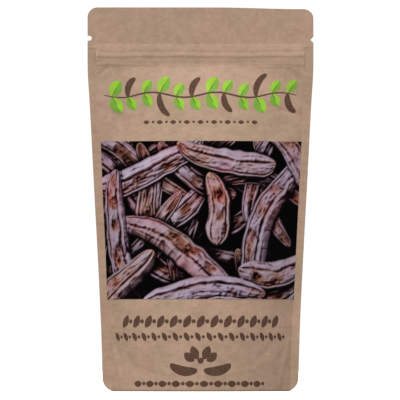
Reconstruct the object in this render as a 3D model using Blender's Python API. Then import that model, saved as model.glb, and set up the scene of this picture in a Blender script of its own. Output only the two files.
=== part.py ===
# Kraft paper stand-up pouch with a zip, filled with dry carob pods, sealed and standing on its gusset.
# Metres, +Z up. The front faces -Y and the origin is the middle of the base.
import math

import bmesh
import bpy
import numpy as np

# Pouch: the flat panel is POUCH_WIDTH wide, and the filled pouch stands POUCH_HEIGHT tall.
POUCH_WIDTH = 0.160
POUCH_HEIGHT = 0.2718
SIDE_SEAL = 0.006
TOP_CORNER_RADIUS = 0.007
BOTTOM_CORNER_RADIUS = 0.009
CORNER_TURNS = (0, 25, 45, 65, 90)  # degrees round a corner at which the mesh has a row
CORE_REACH = 0.070  # even mesh columns as far as this from the centre line
CORE_COLUMNS = 21
TOP_EDGE_DROP = 0.0012  # the right end of the top edge hangs this much lower

# Layers: every sheet is SHEET thick, and sheets that touch keep GAP between them.
SHEET = 0.0004
GAP = 0.0003

# Fill: how far the paper stands out from the middle plane, on the centre line.
BASE_HALF_DEPTH = 0.0338
SHOULDER_DEPTH = 0.009
SHOULDER_REACH = 0.020
BELLY_POWER = 1.6
SECTION_POWER = 2.1

# Gusset: folded at GUSSET_FOLD, and sealed to the panels below a curve that is BASE_SEAL high in the middle.
GUSSET_FOLD = 0.045
BASE_SEAL = 0.010
GUSSET_SAG = 0.0055
GUSSET_EDGE = 0.0003  # its cut edge stops this far above the surface
CROSS_ROWS = 6  # mesh rows from the front seal curve to the back one
SLIT_COLUMNS = 3  # mesh columns at each end in which the two leaves aren't joined

# Zip: two flat tapes with a rib and a groove that snap together.
ZIP_CENTRE = 0.2379
ZIP_TAPE_HEIGHT = 0.0125
ZIP_LENGTH = 0.1464
ZIP_DEPTH = 0.0018  # between the two tapes

# Tear notches, one in each side seal.
LEFT_NOTCH = {"height": 0.2499, "depth": 0.0031, "half_opening": 0.0017, "straight": 0.65}
RIGHT_NOTCH = {"height": 0.2488, "depth": 0.0021, "half_opening": 0.0021, "straight": 0.0}

# Picture label on the front.
LABEL_WIDTH = 0.1464
LABEL_BOTTOM = 0.065
LABEL_TOP = 0.1766
LABEL_SHEET = 0.0003

# Pods: they stand on the gusset, five side by side in each inner layer and two in each outer one.
POD_PITCH = 0.0226
POD_END_PITCH = 0.0440
POD_LAYER_INNER = 0.0060
POD_LAYER_OUTER = 0.0178
POD_HALF_WIDTH = 0.0104
POD_END_HALF_WIDTH = 0.0095
POD_HALF_THICKNESS = 0.0068
POD_LENGTH_INNER = 0.168
POD_LENGTH_END = 0.100
POD_LENGTH_OUTER = 0.110
POD_BOW = 0.003
POD_SIDES = 12
POD_RINGS = 14
POD_CLEARANCE = 0.0012

HALF_WIDTH = POUCH_WIDTH / 2
HALF_OPEN = HALF_WIDTH - SIDE_SEAL  # half of the unsealed width of the flat panel
ZIP_FOOT = ZIP_CENTRE - ZIP_TAPE_HEIGHT / 2
FIN_SEAT = GAP / 2  # inner face of a panel where two sheets meet
GUSSET_SEAT = FIN_SEAT + SHEET + GAP  # inner face of a panel where four sheets meet
ZIP_SEAT = ZIP_DEPTH / 2 + SHEET + GAP  # inner face of a panel over the zip


def smooth_step(value, start, end):
    """0 before start, 1 past end, and a smooth rise between."""
    share = np.clip((value - start) / (end - start), 0.0, 1.0)
    return share * share * (3.0 - 2.0 * share)


def half_depth(z):
    """How far the filled pouch stands out at height z: a quick shoulder below the zip, then a belly."""
    drop = max(ZIP_FOOT - z, 0.0)
    shoulder = SHOULDER_DEPTH * math.tanh(drop / SHOULDER_REACH)
    belly = (BASE_HALF_DEPTH - SHOULDER_DEPTH) * (1.0 - (1.0 - drop / ZIP_FOOT) ** BELLY_POWER)
    return shoulder + belly


def half_section(z):
    """The half section at height z: x, y and length along the paper, from the centre line to the side seal.

    Its depth is half_depth(z), and its span is the one at which the paper keeps its flat width HALF_OPEN.
    """
    share = np.linspace(0.0, 1.0, 241)
    depth = half_depth(z) * (1.0 - share**SECTION_POWER)
    low, high = 0.5 * HALF_OPEN, HALF_OPEN
    for _ in range(40):
        span = (low + high) / 2
        steps = np.hypot(span * np.diff(share), np.diff(depth))
        length = np.concatenate(([0.0], np.cumsum(steps)))
        if length[-1] > HALF_OPEN:
            high = span
        else:
            low = span
    return span * share, depth, length * HALF_OPEN / length[-1]


def seat(u, z):
    """Distance of the panel's inner face from the middle plane, before the fill pushes it out."""
    below_fold = smooth_step(-z, -(GUSSET_FOLD + 0.006), -(GUSSET_FOLD + 0.001))
    gusset = below_fold * smooth_step(np.abs(u), 0.55 * HALF_OPEN, 0.9 * HALF_OPEN)
    low, high = ZIP_FOOT, ZIP_FOOT + ZIP_TAPE_HEIGHT
    band = smooth_step(z, low - 0.007, low - 0.001) * (1.0 - smooth_step(z, high + 0.0005, high + 0.0025))
    over_zip = 1.0 - smooth_step(np.abs(u), HALF_OPEN, HALF_OPEN + 0.0025)
    return FIN_SEAT + (GUSSET_SEAT - FIN_SEAT) * gusset + (ZIP_SEAT - FIN_SEAT) * band * over_zip


def inner_face(u, z):
    """Points of a panel's inner face at flat positions u, height z: x, and distance from the middle plane."""
    x, depth, length = half_section(z)
    across = np.abs(u)
    inside = np.minimum(across, HALF_OPEN)
    fin = np.maximum(across - HALF_OPEN, 0.0)
    along_x = np.sign(u) * (np.interp(inside, length, x) + fin)
    return along_x, np.interp(inside, length, depth) + seat(u, z)


def outward(x, y):
    """Unit vectors that point out of the pouch, level, along a row of points of its front or back."""
    along_x, along_y = np.gradient(x), np.gradient(y)
    size = np.hypot(along_x, along_y)
    return -along_y / size, along_x / size


def corner_inset(z):
    """How far the rounded corners pull the edge of the panel in at height z."""
    low = max(BOTTOM_CORNER_RADIUS - z, 0.0)
    high = max(z - (POUCH_HEIGHT - TOP_CORNER_RADIUS), 0.0)
    inset_low = BOTTOM_CORNER_RADIUS - math.sqrt(BOTTOM_CORNER_RADIUS**2 - low**2)
    inset_high = TOP_CORNER_RADIUS - math.sqrt(max(TOP_CORNER_RADIUS**2 - high**2, 0.0))
    return inset_low + inset_high


def notch_inset(z, notch):
    """Depth of a tear notch at height z: straight sides as far as its share, then a point."""
    away = abs(z - notch["height"]) / notch["half_opening"]
    if away >= 1.0:
        return 0.0
    return notch["depth"] * (notch["straight"] + (1.0 - notch["straight"]) * (1.0 - away))


def row_positions(z):
    """Flat positions across one row of a panel: even columns, then seal line and cut edge at each end."""
    core = np.linspace(-CORE_REACH, CORE_REACH, CORE_COLUMNS)
    left_edge = HALF_WIDTH - corner_inset(z) - notch_inset(z, LEFT_NOTCH)
    right_edge = HALF_WIDTH - corner_inset(z) - notch_inset(z, RIGHT_NOTCH)
    steps = np.array([0.25, 0.4, 0.65, 1.0])
    left = -(CORE_REACH + (left_edge - CORE_REACH) * steps)[::-1]
    right = CORE_REACH + (right_edge - CORE_REACH) * steps
    return np.concatenate((left, core, right))


def corner_heights(radius):
    """Heights, from the edge of the panel, of the rows that follow a rounded corner."""
    return radius * (1.0 - np.cos(np.radians(CORNER_TURNS)))


def panel_rows():
    """Heights of a panel's rows: close together at the corners, the gusset fold, the zip and the notches."""
    bottom = corner_heights(BOTTOM_CORNER_RADIUS)
    top = POUCH_HEIGHT - corner_heights(TOP_CORNER_RADIUS)
    gusset_rows = [0.020, 0.032, 0.043, 0.046, 0.051]
    belly = [0.065, 0.085, 0.105, 0.125, 0.145, 0.165, 0.183, 0.198, 0.210]
    zip_rows = [0.218, 0.2245, 0.228, 0.2315, 0.2379, 0.2444, 0.2465]
    notches = []
    for notch in (LEFT_NOTCH, RIGHT_NOTCH):
        middle, opening = notch["height"], notch["half_opening"]
        notches += [middle - opening, middle, middle + opening]
        if notch["straight"]:
            notches += [middle - 0.9 * opening, middle + 0.9 * opening]
    header = [0.2565]
    return np.array(sorted([*bottom, *gusset_rows, *belly, *zip_rows, *notches, *header, *top]))


def make_material(name, colour, roughness):
    """A plain Principled material."""
    material = bpy.data.materials.new(name)
    material.use_nodes = True
    shader = material.node_tree.nodes["Principled BSDF"]
    shader.inputs["Base Color"].default_value = (*colour, 1.0)
    shader.inputs["Roughness"].default_value = roughness
    shader.inputs["Metallic"].default_value = 0.0
    return material


def add_object(name, bm, material):
    """Turn a finished bmesh into a named object, shaded smooth except at sharp edges."""
    bmesh.ops.recalc_face_normals(bm, faces=bm.faces)
    mesh = bpy.data.meshes.new(name)
    bm.to_mesh(mesh)
    bm.free()
    mesh.shade_smooth()
    mesh.set_sharp_from_angle(angle=math.radians(40))
    mesh.materials.append(material)
    result = bpy.data.objects.new(name, mesh)
    bpy.context.scene.collection.objects.link(result)
    return result


def add_sheet(name, points, material, slit=None):
    """A closed thin sheet: a grid extruded by one layer, each corner moved to points[column, row, side].

    A slit of (columns, rows) leaves out the faces in that many columns at each end, over that many middle rows,
    and makes the triangles of the upper half of the rows a mirror image of the lower half's.
    """
    columns, rows = points.shape[:2]
    bm = bmesh.new()
    bmesh.ops.create_grid(bm, x_segments=columns - 1, y_segments=rows - 1, size=1.0)
    if slit:
        edge, reach = 1.0 - 2.0 * slit[0] / (columns - 1), slit[1] / (rows - 1)
        middles = {face: face.calc_center_median() for face in bm.faces}
        out = [face for face, middle in middles.items() if abs(middle.x) > edge and abs(middle.y) < reach]
        upper = [face for face, middle in middles.items() if middle.y > 0.0 and face not in out]
        bmesh.ops.triangulate(bm, faces=upper, quad_method="ALTERNATE")
        bmesh.ops.delete(bm, geom=out, context="FACES")
    bmesh.ops.triangulate(bm, faces=bm.faces[:], quad_method="FIXED")
    extruded = bmesh.ops.extrude_face_region(bm, geom=bm.faces[:])
    for item in extruded["geom"]:
        if isinstance(item, bmesh.types.BMVert):
            item.co.z = 1.0
    for vert in bm.verts:
        column = round((vert.co.x + 1.0) / 2.0 * (columns - 1))
        row = round((vert.co.y + 1.0) / 2.0 * (rows - 1))
        vert.co = points[column, row, round(vert.co.z)]
    return add_object(name, bm, material)


def panel_points(side):
    """Inner and outer faces of the front panel (side -1) or the back panel (side 1)."""
    heights = panel_rows()
    points = np.zeros((len(row_positions(0.1)), len(heights), 2, 3))
    for row, z in enumerate(heights):
        x, away = inner_face(row_positions(z), z)
        out_x, out_y = outward(x, away)
        drop = TOP_EDGE_DROP * smooth_step(x, 0.012, 0.072) * smooth_step(z, 0.252, POUCH_HEIGHT)
        for layer in range(2):
            points[:, row, layer, 0] = x + layer * SHEET * out_x
            points[:, row, layer, 1] = side * (away + layer * SHEET * out_y)
            points[:, row, layer, 2] = z - drop
    return points


def seal_height(u):
    """Height of the curve below which the gusset is sealed to the panels."""
    across = np.minimum(np.abs(u) / HALF_OPEN, 1.0)
    top = GUSSET_FOLD - (SHEET + FIN_SEAT)
    return BASE_SEAL + (top - BASE_SEAL) * (1.0 - np.sqrt(1.0 - across**2))


def gusset_points():
    """Both faces of the gusset: up the front panel to the seal curve, across to the back, and down again.

    In the side seals its two leaves lie flat against each other, with a slit between them.
    """
    cross_shares = np.linspace(-1.0, 1.0, CROSS_ROWS + 1)[1:-1]
    flat = row_positions(GUSSET_FOLD - 0.001)
    flat_seal = seal_height(flat)
    columns, cross = len(flat), len(cross_shares)
    leaf = len(CORNER_TURNS) + 3
    points = np.zeros((columns, 2 * leaf + cross, 2, 3))
    for column in range(columns):
        above_corner = np.linspace(BOTTOM_CORNER_RADIUS, flat_seal[column], 4)[1:]
        heights = [GUSSET_EDGE, *corner_heights(BOTTOM_CORNER_RADIUS)[1:], *above_corner]
        for row, z in enumerate(heights):
            x, away = inner_face(row_positions(z), z)
            out_x, out_y = outward(x, away)
            for layer in range(2):
                inset = GAP + layer * SHEET
                place = (x - inset * out_x)[column], (away - inset * out_y)[column], z
                points[column, row, layer] = place[0], -place[1], place[2]
                points[column, -1 - row, layer] = place
    rim = points[:, leaf - 1]
    sag = GUSSET_SAG * smooth_step(-np.abs(flat), -HALF_OPEN, -0.45 * HALF_OPEN)
    for row, share in enumerate(cross_shares):
        for layer in range(2):
            points[:, leaf + row, layer, 0] = rim[:, layer, 0]
            points[:, leaf + row, layer, 1] = -share * rim[:, layer, 1]
            points[:, leaf + row, layer, 2] = rim[:, 0, 2] - sag * (1.0 - share**2) - layer * SHEET
    inner = slice(SLIT_COLUMNS, columns - SLIT_COLUMNS)
    points[inner, leaf - 1, 1, 2] -= 0.5 * SHEET
    points[inner, leaf + cross, 1, 2] -= 0.5 * SHEET
    return points


def gusset_height(x, y):
    """Height of the gusset's upper face above the base at x, y, for what stands on it."""
    x_open, depth, length = half_section(0.5 * BASE_SEAL)
    u = np.interp(abs(x), x_open, length)
    half = np.interp(abs(x), x_open, depth)
    share = min(abs(y) / half, 1.0)
    sag = GUSSET_SAG * smooth_step(-u, -HALF_OPEN, -0.45 * HALF_OPEN)
    return seal_height(u) - sag * (1.0 - share**2)


def label_points():
    """Both faces of the label, which lies on the front panel."""
    core = np.linspace(-CORE_REACH, CORE_REACH, CORE_COLUMNS)
    flat = np.concatenate(([-LABEL_WIDTH / 2], core, [LABEL_WIDTH / 2]))
    heights = np.linspace(LABEL_BOTTOM, LABEL_TOP, 9)
    points = np.zeros((len(flat), len(heights), 2, 3))
    for row, z in enumerate(heights):
        x, away = inner_face(flat, z)
        out_x, out_y = outward(x, away)
        for layer in range(2):
            off = SHEET + GAP + layer * LABEL_SHEET
            points[:, row, layer, 0] = x + off * out_x
            points[:, row, layer, 1] = -(away + off * out_y)
            points[:, row, layer, 2] = z
    return points


def add_zip_tape(name, profile, side, material):
    """A zip tape with its rib or groove: an outline of (distance off the tape, height), carried along X."""
    bm = bmesh.new()
    face_y = side * ZIP_DEPTH / 2
    corners = [bm.verts.new((-ZIP_LENGTH / 2, face_y - side * out, ZIP_CENTRE + up)) for out, up in profile]
    face = bm.faces.new(corners)
    extruded = bmesh.ops.extrude_face_region(bm, geom=[face])
    moved = [item for item in extruded["geom"] if isinstance(item, bmesh.types.BMVert)]
    bmesh.ops.translate(bm, verts=moved, vec=(ZIP_LENGTH, 0.0, 0.0))
    return add_object(name, bm, material)


def mirrored(half):
    """A closed outline from its upper half, mirrored in height."""
    return half + [(out, -up) for out, up in reversed(half)]


def zip_profiles():
    """Outlines of the rib and of the groove, which hooks round the rib's head with GAP all round."""
    tape = ZIP_TAPE_HEIGHT / 2
    stem, head = 0.0003, 0.0006
    neck, tip = ZIP_DEPTH - GAP - 0.0005, ZIP_DEPTH - GAP
    lip_start = neck - GAP
    jaw_inside, jaw_outside = head + GAP, head + GAP + 0.0005
    rib = mirrored([(-SHEET, tape), (0.0, tape), (0.0, stem), (neck, stem), (neck, head), (tip, 0.5 * head)])
    reach = ZIP_DEPTH - GAP
    lip_back = ZIP_DEPTH - lip_start
    upper_jaw = [(0.0, jaw_outside), (reach, jaw_outside), (reach, stem + GAP), (lip_back, stem + GAP)]
    groove = mirrored([(-SHEET, tape), (0.0, tape), *upper_jaw, (lip_back, jaw_inside), (0.0, jaw_inside)])
    return rib, groove


def add_pod(name, middle_x, middle_y, length, half_width, stem_up, material):
    """A carob pod, upright: a sphere drawn out into a flat bowed bean with thick rims and seed swellings."""
    foot = POD_CLEARANCE + max(
        gusset_height(middle_x + dx, middle_y + dy) for dx in (-0.004, 0.004) for dy in (-0.002, 0.002)
    )
    bm = bmesh.new()
    bmesh.ops.create_uvsphere(bm, u_segments=POD_SIDES, v_segments=POD_RINGS, radius=1.0)
    for vert in bm.verts:
        share = math.acos(max(-1.0, min(1.0, -vert.co.z))) / math.pi  # 0 at the foot, 1 at the top
        angle = math.atan2(vert.co.y, vert.co.x)
        along = share if stem_up else 1.0 - share  # 0 at the flower end, 1 at the stalk
        fullness = math.sin(math.pi * share) ** 0.4 * (1.0 - 0.25 * smooth_step(along, 0.55, 1.0))
        rim = 0.74 + 0.26 * math.cos(angle) ** 2
        seeds = 1.0 + 0.06 * math.cos(2 * math.pi * 7 * share)
        across = half_width * fullness * math.cos(angle)
        flat_side = math.copysign(abs(math.sin(angle)) ** 0.8, math.sin(angle))
        through = POD_HALF_THICKNESS * fullness * rim * seeds * flat_side
        bow = POD_BOW * (1.0 - (2.0 * share - 1.0) ** 2)
        vert.co = middle_x + across + bow, middle_y + through, foot + length * share
    return add_object(name, bm, material)


def pod_places():
    """Middle x, middle y, length and half width of each pod, layer by layer."""
    places = []
    for side in (-1, 1):
        inner_y, outer_y = side * POD_LAYER_INNER, side * POD_LAYER_OUTER
        for step in (-1, 0, 1):
            length = POD_LENGTH_INNER - 0.004 * abs(step + 0.5 * side)
            places.append((step * POD_PITCH - POD_BOW / 2, inner_y, length, POD_HALF_WIDTH))
        for end in (-1, 1):
            places.append((end * POD_END_PITCH - POD_BOW / 2, inner_y, POD_LENGTH_END, POD_END_HALF_WIDTH))
            places.append((end * POD_PITCH / 2 - POD_BOW / 2, outer_y, POD_LENGTH_OUTER, POD_HALF_WIDTH))
    return places


def main():
    for existing in list(bpy.data.objects):
        bpy.data.objects.remove(existing, do_unlink=True)

    kraft = make_material("kraft_paper", (0.42, 0.30, 0.22), 0.85)
    film = make_material("zip_film", (0.80, 0.80, 0.78), 0.35)
    print_paper = make_material("label_paper", (0.09, 0.06, 0.06), 0.45)
    pod_skin = make_material("pod_skin", (0.07, 0.03, 0.02), 0.55)

    add_sheet("front_panel", panel_points(-1), kraft)
    add_sheet("back_panel", panel_points(1), kraft)
    add_sheet("bottom_gusset", gusset_points(), kraft, slit=(SLIT_COLUMNS, CROSS_ROWS))
    add_sheet("front_label", label_points(), print_paper)

    rib, groove = zip_profiles()
    add_zip_tape("zip_groove", groove, -1, film)
    add_zip_tape("zip_rib", rib, 1, film)

    for number, place in enumerate(pod_places(), start=1):
        add_pod(f"pod_{number:02d}", *place, stem_up=number % 3 != 0, material=pod_skin)


main()
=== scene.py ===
import functools
import math

import bmesh
import bpy
import numpy as np
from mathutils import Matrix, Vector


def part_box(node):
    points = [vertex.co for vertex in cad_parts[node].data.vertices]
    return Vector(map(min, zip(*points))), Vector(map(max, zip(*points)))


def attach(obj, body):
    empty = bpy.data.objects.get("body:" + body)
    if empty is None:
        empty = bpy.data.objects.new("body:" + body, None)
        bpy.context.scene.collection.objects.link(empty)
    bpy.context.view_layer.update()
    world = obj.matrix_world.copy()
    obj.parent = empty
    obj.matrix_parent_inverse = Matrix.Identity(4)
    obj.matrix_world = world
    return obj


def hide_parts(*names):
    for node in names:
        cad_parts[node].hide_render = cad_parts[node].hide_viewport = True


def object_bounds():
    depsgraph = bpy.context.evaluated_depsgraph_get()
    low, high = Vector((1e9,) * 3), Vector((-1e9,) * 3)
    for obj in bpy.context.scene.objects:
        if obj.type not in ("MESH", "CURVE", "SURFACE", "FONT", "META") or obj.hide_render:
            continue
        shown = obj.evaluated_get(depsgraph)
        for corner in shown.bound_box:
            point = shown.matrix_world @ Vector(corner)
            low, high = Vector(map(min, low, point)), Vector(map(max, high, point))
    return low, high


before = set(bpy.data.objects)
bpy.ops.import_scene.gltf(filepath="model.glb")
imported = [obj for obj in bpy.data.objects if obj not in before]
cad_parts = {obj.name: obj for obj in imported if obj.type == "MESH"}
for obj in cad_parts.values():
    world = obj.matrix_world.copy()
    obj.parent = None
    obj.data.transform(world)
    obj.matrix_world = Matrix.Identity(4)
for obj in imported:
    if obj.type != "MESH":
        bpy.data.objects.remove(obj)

cadLow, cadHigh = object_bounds()
print("frame loaded:", len(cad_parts), "nodes")


# Stage: a plain pale table in soft white light. Sizes in metres, angles in degrees.
stage = {
    "floorRadius": 10.9,
    "backdropRadius": 11.0,
    "floorColour": (0.93, 0.93, 0.93),
    "skyStrength": 0.55,
    "suns": {  # strength, turn from the camera's side, lift over the horizon, spread
        "keyLight": (3.30, -20, 67, 24),
        "backLight": (1.5, 150, 40, 40),
    },
    "cameraDistance": 4.0,
    "cameraHeight": 0.02,
    "aimHeight": 0.1353,
    "aimAcross": -0.00035,
    "lens": 508.8,
}


def addObject(name, data):
    made = bpy.data.objects.new(name, data)
    bpy.context.scene.collection.objects.link(made)
    return made


def plainPiece(name, points, faces, finishName, sockets):
    # a part of the stage in one plain material, whose shader takes the given values
    mesh = bpy.data.meshes.new(name)
    mesh.from_pydata(points.tolist(), [], faces)
    material = bpy.data.materials.new(finishName)
    material.use_nodes = True
    for key, value in sockets.items():
        material.node_tree.nodes["Principled BSDF"].inputs[key].default_value = value
    mesh.materials.append(material)
    return addObject(name, mesh)


def gridFaces(grid):
    # four-cornered faces between the rows and columns of a grid of point numbers
    return np.stack([grid[:-1, :-1], grid[:-1, 1:], grid[1:, 1:], grid[1:, :-1]], axis=-1).reshape(-1, 4)


def tubeFaces(rows, columns):
    # faces between the rows of a tube, each row closed on itself
    grid = np.arange(rows * columns).reshape(rows, columns)
    return gridFaces(np.concatenate([grid, grid[:, :1]], axis=1))


def addStage():
    # the floor: a flat disc, which the pouch stands on
    turn = np.linspace(0.0, 2 * np.pi, 97)[:-1]
    ring = np.stack([np.cos(turn), np.sin(turn), 0 * turn], axis=1) * stage["floorRadius"]
    paint = {"Base Color": (*stage["floorColour"], 1.0), "Roughness": 0.9}
    floor = plainPiece("floor", ring, [list(range(len(ring)))], "palePaint", paint)
    floor.location.z = cadLow[2]
    floor.visible_diffuse = False  # the floor throws no light back up

    # the backdrop: a white dome that only the camera sees, point (cos a cos b, sin a cos b, sin b)
    a, b = np.meshgrid(np.linspace(0, 2 * np.pi, 65)[:-1], np.linspace(-0.1, 0.499 * np.pi, 24))
    dome = np.stack([np.cos(a) * np.cos(b), np.sin(a) * np.cos(b), np.sin(b)], axis=-1).reshape(-1, 3)
    lid = a.size - 1 - np.arange(a.shape[1])
    faces = tubeFaces(*a.shape)[:, ::-1].tolist() + [lid.tolist()]
    black, white = (0.0, 0.0, 0.0, 1.0), (1.0, 1.0, 1.0, 1.0)
    glow = {"Base Color": black, "Emission Color": white, "Emission Strength": 1.0}
    backdrop = plainPiece("backdrop", dome * stage["backdropRadius"], faces, "whiteGlow", glow)
    for rays in ("diffuse", "glossy", "shadow", "transmission", "volume_scatter"):
        setattr(backdrop, "visible_" + rays, False)

    world = bpy.data.worlds.new("sky")
    world.use_nodes = True
    world.node_tree.nodes["Background"].inputs["Strength"].default_value = stage["skyStrength"]
    world.node_tree.nodes["Background"].inputs["Color"].default_value = white
    bpy.context.scene.world = world
    for name, (strength, turn, lift, spread) in stage["suns"].items():
        light = bpy.data.lights.new(name, "SUN")
        light.energy, light.angle = strength, math.radians(spread)
        addObject(name, light).rotation_euler = (math.radians(90 - lift), 0.0, math.radians(turn))

    lens = bpy.data.cameras.new("camera")
    lens.lens = stage["lens"]
    lens.clip_end = 200.0
    camera = addObject("camera", lens)
    camera.location = (stage["aimAcross"], -stage["cameraDistance"], stage["cameraHeight"])
    tilt = math.atan2(stage["aimHeight"] - stage["cameraHeight"], stage["cameraDistance"])
    camera.rotation_euler = (math.pi / 2 + tilt, 0.0, 0.0)
    bpy.context.scene.camera = camera
    bpy.context.scene.view_settings.view_transform = "Standard"
    print("stage, lights and camera ready")


def rise(value, start, end):
    # 0 before start, 1 past end, 3t^2 - 2t^3 between
    share = np.clip((value - start) / (end - start), 0.0, 1.0)
    return share * share * (3.0 - 2.0 * share)


def fall(value, start, end):
    # 1 before start, 0 past end
    return 1 - rise(value, start, end)


def bump(value, middle, width):
    # a bell: exp(-((value - middle) / width)^2)
    return np.exp(-(((value - middle) / width) ** 2))


def between(table, row, column, up, right):
    # a table's values at four neighbours, mixed by the shares up and right
    near = table[row, column] * (1 - right) + table[row, column + 1] * right
    far = table[row + 1, column] * (1 - right) + table[row + 1, column + 1] * right
    return near * (1 - up) + far * up


def softNoise(x, y, seed):
    # values at whole numbers from a seeded table, mixed by smooth steps; from -1 to 1
    table = np.random.default_rng(seed).uniform(-1.0, 1.0, (64, 64))
    column, row = np.floor(x).astype(int), np.floor(y).astype(int)
    up, right = rise(y - row, 0.0, 1.0), rise(x - column, 0.0, 1.0)
    return between(table, row % 63, column % 63, up, right)


# Paper of the pouch. u runs across the flat paper and z up, both from the middle of the base. The sizes are
# the solids' own, but for the thickness of the sheets, which is nearer to the real paper's. In metres.
paper = {
    "halfWidth": 0.080,
    "height": 0.2718,
    "sideSeal": 0.006,
    "topCorner": 0.007,
    "bottomCorner": 0.009,
    "topEdgeDrop": 0.0012,
    "sheet": 0.00022,
    "gap": 0.00007,
    "baseHalfDepth": 0.0338,
    "shoulderDepth": 0.009,
    "shoulderReach": 0.020,
    "bellyPower": 1.6,
    "sectionPower": 2.1,
    "zipFoot": 0.23165,
    "zipHeight": 0.0125,
    "zipHalfDepth": 0.00022,  # where the tapes lie flat
    "gussetFold": 0.045,
    "baseSeal": 0.010,
    "gussetSag": 0.0055,
    "core": 0.0695,  # even columns as far as this
    "headerWave": 0.0016,
}
notches = {
    "left": {"height": 0.2499, "depth": 0.0031, "halfOpening": 0.0017, "straight": 0.65},
    "right": {"height": 0.2488, "depth": 0.0021, "halfOpening": 0.0021, "straight": 0.0},
}
halfOpen = paper["halfWidth"] - paper["sideSeal"]
# half the room between the panels: with nothing, a gusset leaf or the zip's tapes between them
finSeat = paper["gap"] / 2
gussetSeat = finSeat + paper["sheet"] + paper["gap"]
zipSeat = paper["zipHalfDepth"] + paper["gap"]


def halfDepth(z):
    # how far the paper stands out on the centre line:
    # shoulder * tanh(drop / reach) + rest * (1 - (1 - drop / all)^power)
    drop = np.clip(paper["zipFoot"] - z, 0.0, paper["zipFoot"])
    shoulder = paper["shoulderDepth"] * np.tanh(drop / paper["shoulderReach"])
    rest = paper["baseHalfDepth"] - paper["shoulderDepth"]
    return shoulder + rest * (1 - (1 - drop / paper["zipFoot"]) ** paper["bellyPower"])


def makeSectionTable(depthCount=80, acrossCount=371):
    # level sections of growing depth h: away = h * (1 - share^power), x = span * share, with the span at
    # which the curve is as long as the flat paper; then read at even steps along the paper
    depth = np.linspace(0.0, paper["baseHalfDepth"] * 1.01, depthCount)[:, None]
    share = np.linspace(0.0, 1.0, 481)[None, :]
    away = depth * (1 - share ** paper["sectionPower"])
    low, high = np.full_like(depth, 0.5 * halfOpen), np.full_like(depth, halfOpen)
    for _ in range(40):
        span = (low + high) / 2
        steps = np.hypot(span * np.diff(share), np.diff(away))
        tooLong = steps.sum(axis=1, keepdims=True) > halfOpen
        low, high = np.where(tooLong, low, span), np.where(tooLong, span, high)
    length = np.concatenate([0 * depth, np.cumsum(steps, axis=1)], axis=1)
    length *= halfOpen / length[:, -1:]
    even = np.linspace(0.0, halfOpen, acrossCount)
    grids = (span * share, away)
    tables = [np.array([np.interp(even, *pair) for pair in zip(length, grid)]) for grid in grids]
    return depth[1, 0], even[1], *tables


depthStep, acrossStep, tableX, tableAway = makeSectionTable()


def readTable(table, depth, across):
    # bilinear reading between the table's rows and columns
    row = np.clip(depth / depthStep, 0.0, table.shape[0] - 1.001)
    column = np.clip(across / acrossStep, 0.0, table.shape[1] - 1.001)
    r, c = row.astype(int), column.astype(int)
    return between(table, r, c, row - r, column - c)


def section(u, z):
    # x, and distance from the middle plane, before anything lies between the sheets
    across, depth = np.abs(u), halfDepth(z)
    inside = np.minimum(across, halfOpen)
    x = readTable(tableX, depth, inside) + np.maximum(across - halfOpen, 0.0)
    return np.sign(u) * x, readTable(tableAway, depth, inside)


def seat(u, z):
    # room for the sheets between the panels: gusset leaves low at the sides, zip tapes under the header
    fold, foot, top = paper["gussetFold"], paper["zipFoot"], paper["zipFoot"] + paper["zipHeight"]
    belowFold = fall(z, fold + 0.001, fold + 0.006)
    leaves = belowFold * rise(np.abs(u), 0.55 * halfOpen, 0.9 * halfOpen)
    band = rise(z, foot - 0.0025, foot) * fall(z, top, top + 0.0020)
    overZip = fall(np.abs(u), halfOpen - 0.001, halfOpen + 0.001)
    return finSeat + (gussetSeat - finSeat) * leaves + (zipSeat - finSeat) * band * overZip


# Tapes of the zip, in metres.
zipTape = {
    "halfLength": 0.0732,
    "ribHeight": 0.2389,
    "halfSheet": 0.00004,
    "rest": 0.00010,  # from the middle plane to the middle of a tape
    "bow": 0.00050,
    "bowWidth": 0.00105,
    "columns": 130,
}

# Over the zip the paper leans out by a height, or back in where it is below zero, between a foot and a top.
zipSteps = [(0.2412, 0.2449, 0.00034), (0.2377, 0.2404, 0.00035), (0.2359, 0.2374, -0.00024)]
# the zip's upper edge, crushed into the side seals
zipFin = {"z": 0.2436, "width": 0.0007, "height": 0.00016}
sealFillet = {"width": 0.0017, "height": 0.00022}
# just under the zip the middle is flatter than the sides: how deep, over what drop, and how far it reaches
hollow = {"deep": 0.0015, "reach": 0.004, "more": 0.0010, "side": (0.057, 0.0725), "below": (0.022, 0.105)}
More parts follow.
